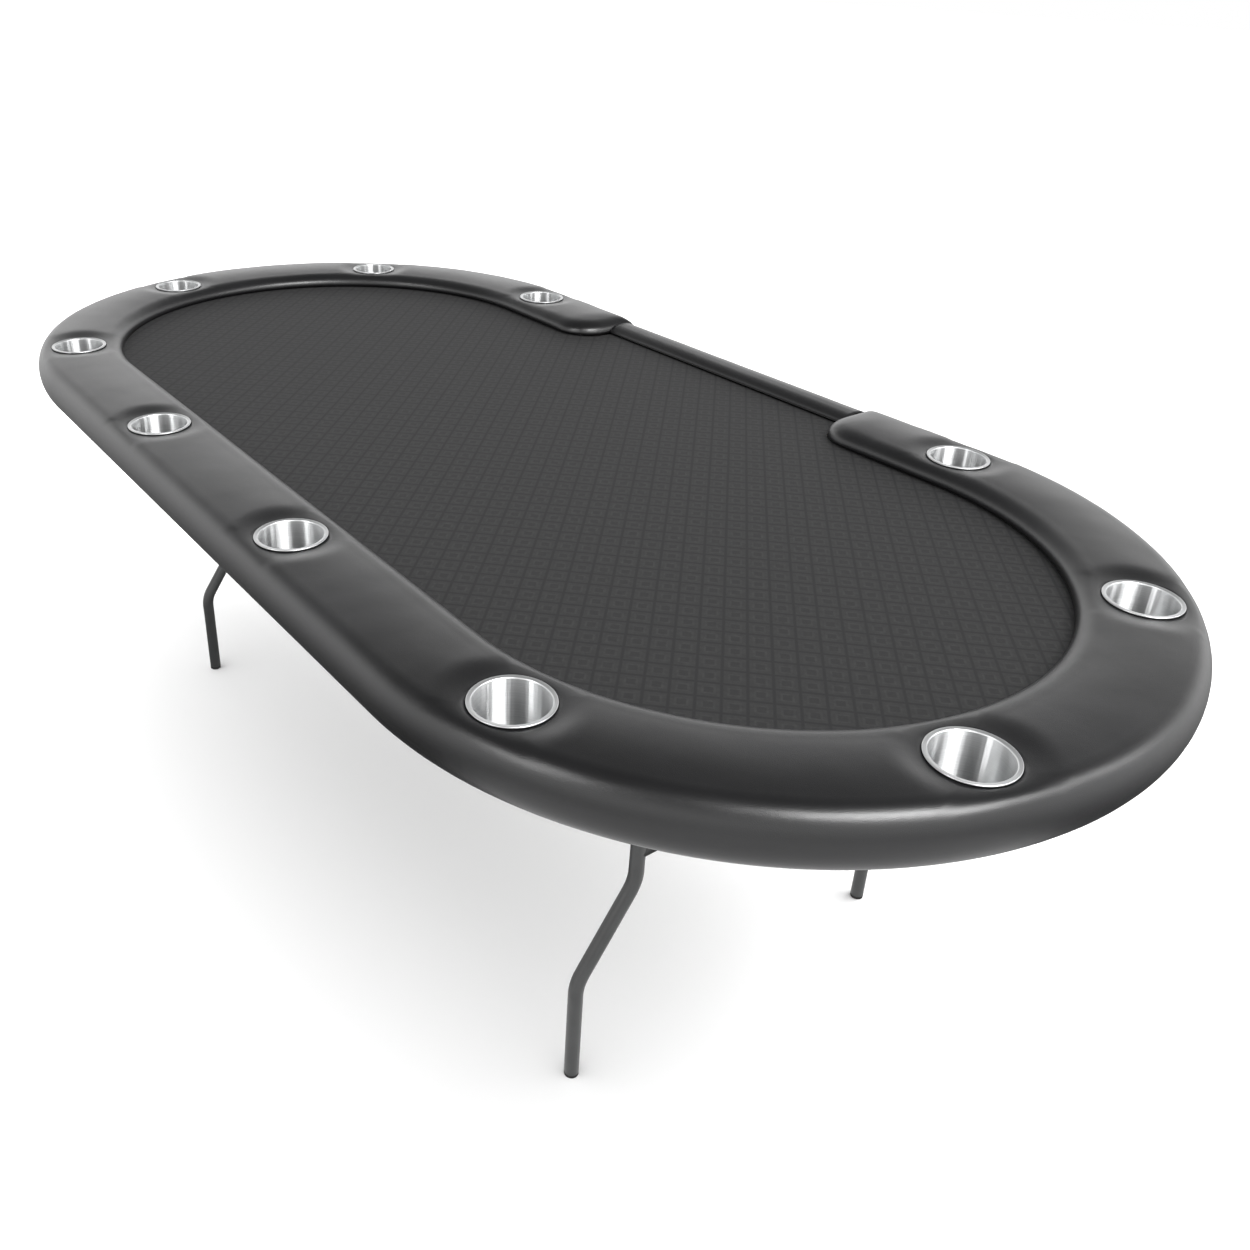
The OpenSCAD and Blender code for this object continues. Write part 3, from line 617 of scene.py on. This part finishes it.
vinyl = upholstery_vinyl()
wall_steel = brushed_steel("brushed_stainless_steel", 1.0, 0.6)
flange_steel = brushed_steel("pressed_stainless_steel", 0.3, 0.1)
rail = rail_vinyl(vinyl)
dealer_vinyl(vinyl)
cloth_sheet(speed_cloth())
for cup in CUPS:
    cup_piece(cup, wall_steel, flange_steel)

finishes = {
    "plywood": stained_wood("stained_birch_plywood", "#1f1d1b", "#33302c", plies=True),
    "board_wood": stained_wood("stained_pine_boards", "#24211e", "#3a3631"),
    "foam": foam(),
    "powder_coat": powder_coat(),
    "zinc_steel": zinc_steel(),
    "black_rubber": moulded_black("black_rubber", 0.7, 600.0),
    "black_plastic": moulded_black("black_nylon", 0.45, 900.0),
}
for part in frame["record"]["subparts"]:
    if part["material_slot"] in finishes:
        mesh = frame["nodes"][part["node"]].data
        mesh.materials.clear()
        mesh.materials.append(finishes[part["material_slot"]])

# ---------------------------------------------------------------- studio

FILL = 0.7  # even light from all round
# The height of a direction's tip, and how bright the gloss finds it there.
MIRRORED = ((-1, 0.04), (-0.7, 0.08), (-0.55, 0.2), (-0.4, 0.5), (-0.2, 1.1), (0.0, 1.7),
            (0.2, 2.0), (0.35, 1.45), (0.5, 0.56), (0.65, 0.3), (0.8, 0.22), (1, 0.18))


def studio_floor():
    """White floor. It lights the table but isn't mirrored in it, as in a room with dark ends."""
    bm = bmesh.new()
    bmesh.ops.create_grid(bm, x_segments=2, y_segments=2, size=40)
    material = new_material("studio_floor", "#ffffff", 0.9, Specular_IOR_Level=0.0)[0]
    mesh = bpy.data.meshes.new("studio_floor")
    bm.to_mesh(mesh)
    bm.free()
    floor = bpy.data.objects.new("studio_floor", mesh)
    bpy.context.scene.collection.objects.link(floor)
    mesh.materials.append(material)
    floor.visible_glossy = False
    return floor


def put_lamp(name, light, place, aim, lit=()):
    """Places a lamp, which lights everything or only the objects given."""
    lamp = bpy.data.objects.new(name, light)
    bpy.context.scene.collection.objects.link(lamp)
    lamp.location = place
    lamp.rotation_euler = (Vector(aim) - Vector(place)).to_track_quat("-Z", "Y").to_euler()
    if lit:
        lamp.light_linking.receiver_collection = bpy.data.collections.new(name)
        for piece in lit:
            lamp.light_linking.receiver_collection.objects.link(piece)
    return lamp


def soft_sun(name, place, strength, spread_deg, lit=()):
    """Even light with a wide soft shadow."""
    light = bpy.data.lights.new(name, "SUN")
    light.energy = strength
    light.angle = math.radians(spread_deg)
    put_lamp(name, light, place, (0, 0, 0), lit).visible_glossy = False


def softbox(name, place, aim, size, power, lit=()):
    """A panel that shows as a streak on vinyl and steel."""
    light = bpy.data.lights.new(name, "AREA")
    light.shape = "RECTANGLE"
    light.size, light.size_y = size
    light.energy = power
    lamp = put_lamp(name, light, place, aim, lit)
    lamp.visible_diffuse = False
    return lamp


def studio_world():
    """What the gloss mirrors: a bright horizon, a dim ceiling and a dark floor."""
    world = bpy.data.worlds.new("studio")
    world.use_nodes = True
    bpy.context.scene.world = world
    tree = world.node_tree
    way = add(tree, "SeparateXYZ", links={"Vector": add(tree, "TexCoord").outputs["Generated"]})
    height = add(tree, "MapRange", {"From Min": -1.0, "From Max": 1.0}, {"Value": way.outputs["Z"]})
    # The ramp holds half the strength, because its colours end at 1.
    ramp = add(tree, "ValToRGB", {}, {"Fac": height},
               [((1 + z) / 2, grey(level / 2)) for z, level in MIRRORED])
    mirrored = add(tree, "VectorMath", {1: (2, 2, 2)}, {0: ramp}, operation="MULTIPLY")
    ray = add(tree, "LightPath")
    plain = add(tree, "MapRange", {"To Min": FILL, "To Max": 1.0},
                {"Value": ray.outputs["Is Camera Ray"]})
    choice = add(tree, "Mix", data_type="RGBA")
    factor, plain_side, mirrored_side = 0, 6, 7  # a colour mix's inputs
    feed(tree, choice, {factor: ray.outputs["Is Glossy Ray"], plain_side: plain,
                        mirrored_side: mirrored})
    mixed_colour = 2
    feed(tree, tree.nodes["Background"], {"Color": choice.outputs[mixed_colour]})


white_floor = studio_floor()
studio_world()
soft_sun("soft_sun", (0.9, 1.9, 3.6), 2.2, 45)
soft_sun("floor_wash", (1.3, -0.5, 4.0), 3.1, 150, [white_floor])
softbox("key_softbox", (3.95, -0.2, 3.75), (1.0, -0.2, 0.75), (2.6, 1.2), 360)
softbox("side_strip", (0.6, -4.2, 3.2), (0.6, 0, 0.7), (0.3, 1.8), 80)
softbox("back_strip", (4.0, 3.2, 3.2), (0.6, 0, 0.7), (0.2, 1.8), 60)
# The white floor as the gloss of the near legs and of the rail's underside mirrors it.
floor_glow = softbox("floor_glow", (1.6, -0.8, 0.0), (1.6, -0.8, 1.0), (2.4, 2.4), 20,
                     [frame["nodes"]["right_leg_tubes"], rail])
floor_glow.visible_camera = False

camera_data = bpy.data.cameras.new("camera")
camera_data.sensor_width = 36
camera_data.lens = 33.474
camera_data.shift_x, camera_data.shift_y = 0.0576, -0.0481
camera = bpy.data.objects.new("camera", camera_data)
bpy.context.scene.collection.objects.link(camera)
camera.location = (1.549413, -1.070207, 1.450005)
# Turned to the table's near end, tilted down, with a slight roll.
camera.rotation_euler = (Matrix.Rotation(math.radians(52.327), 4, "Z")
                         @ Matrix.Rotation(math.radians(90 - 27.683), 4, "X")
                         @ Matrix.Rotation(math.radians(1.997), 4, "Z")).to_euler()
bpy.context.scene.camera = camera
bpy.context.scene.view_settings.view_transform = "Standard"
